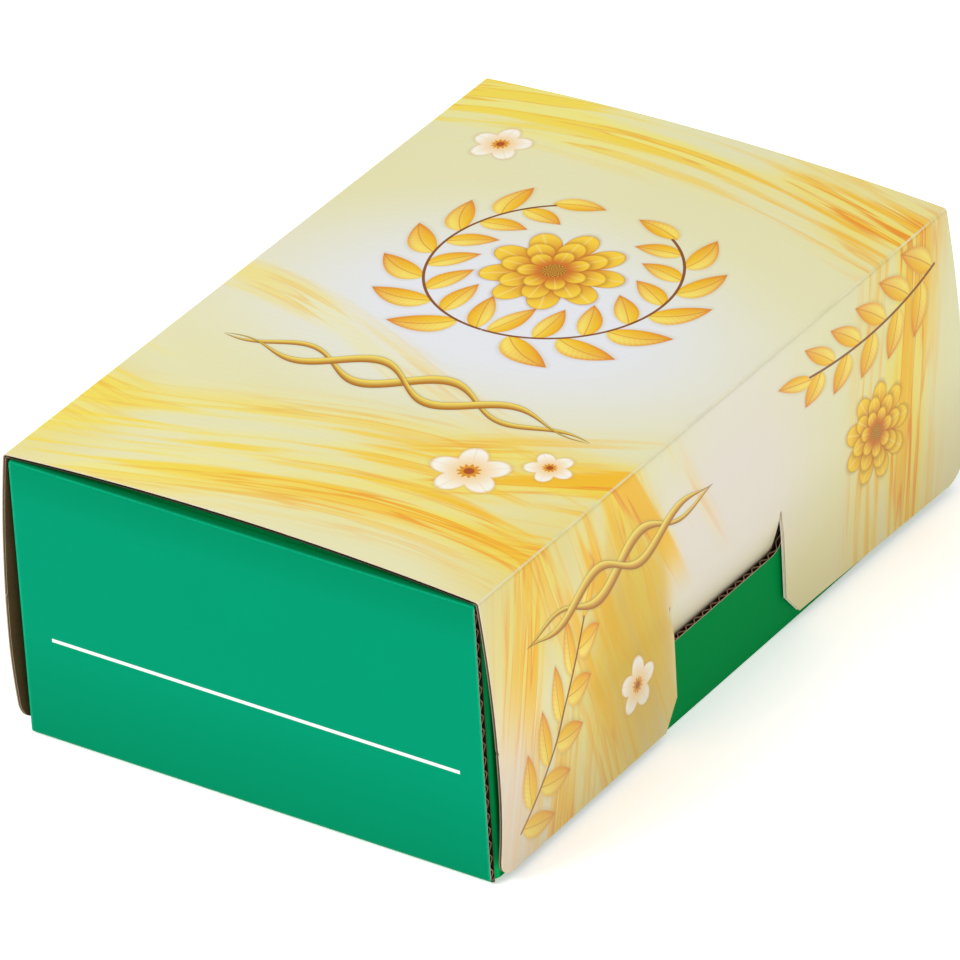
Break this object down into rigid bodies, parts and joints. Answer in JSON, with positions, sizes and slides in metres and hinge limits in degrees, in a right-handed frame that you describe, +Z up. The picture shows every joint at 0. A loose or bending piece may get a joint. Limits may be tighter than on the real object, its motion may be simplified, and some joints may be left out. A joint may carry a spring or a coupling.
{
  "type": "two-piece corrugated fruit carton",
  "caption": "Closed gift carton for fruit: a corrugated tray with rolled end walls and hand holes, and a printed cover whose side tabs tuck into the tray.",
  "frame": {"origin": "middle of the tray's underside, on the surface the carton stands on", "axes": "+Z up, +Y along the carton's length from the near end wall to the far one, +X across its width"},
  "size_m": [0.2252, 0.325, 0.1285],
  "materials": {
    "green_board": "satin printed liner outside, bare kraft inside",
    "printed_board": "coated print outside, semi-gloss, bare kraft inside"
  },
  "bodies": {
    "root": {"tray": "green_board", "cover": "printed_board"}
  },
  "joints": []
}
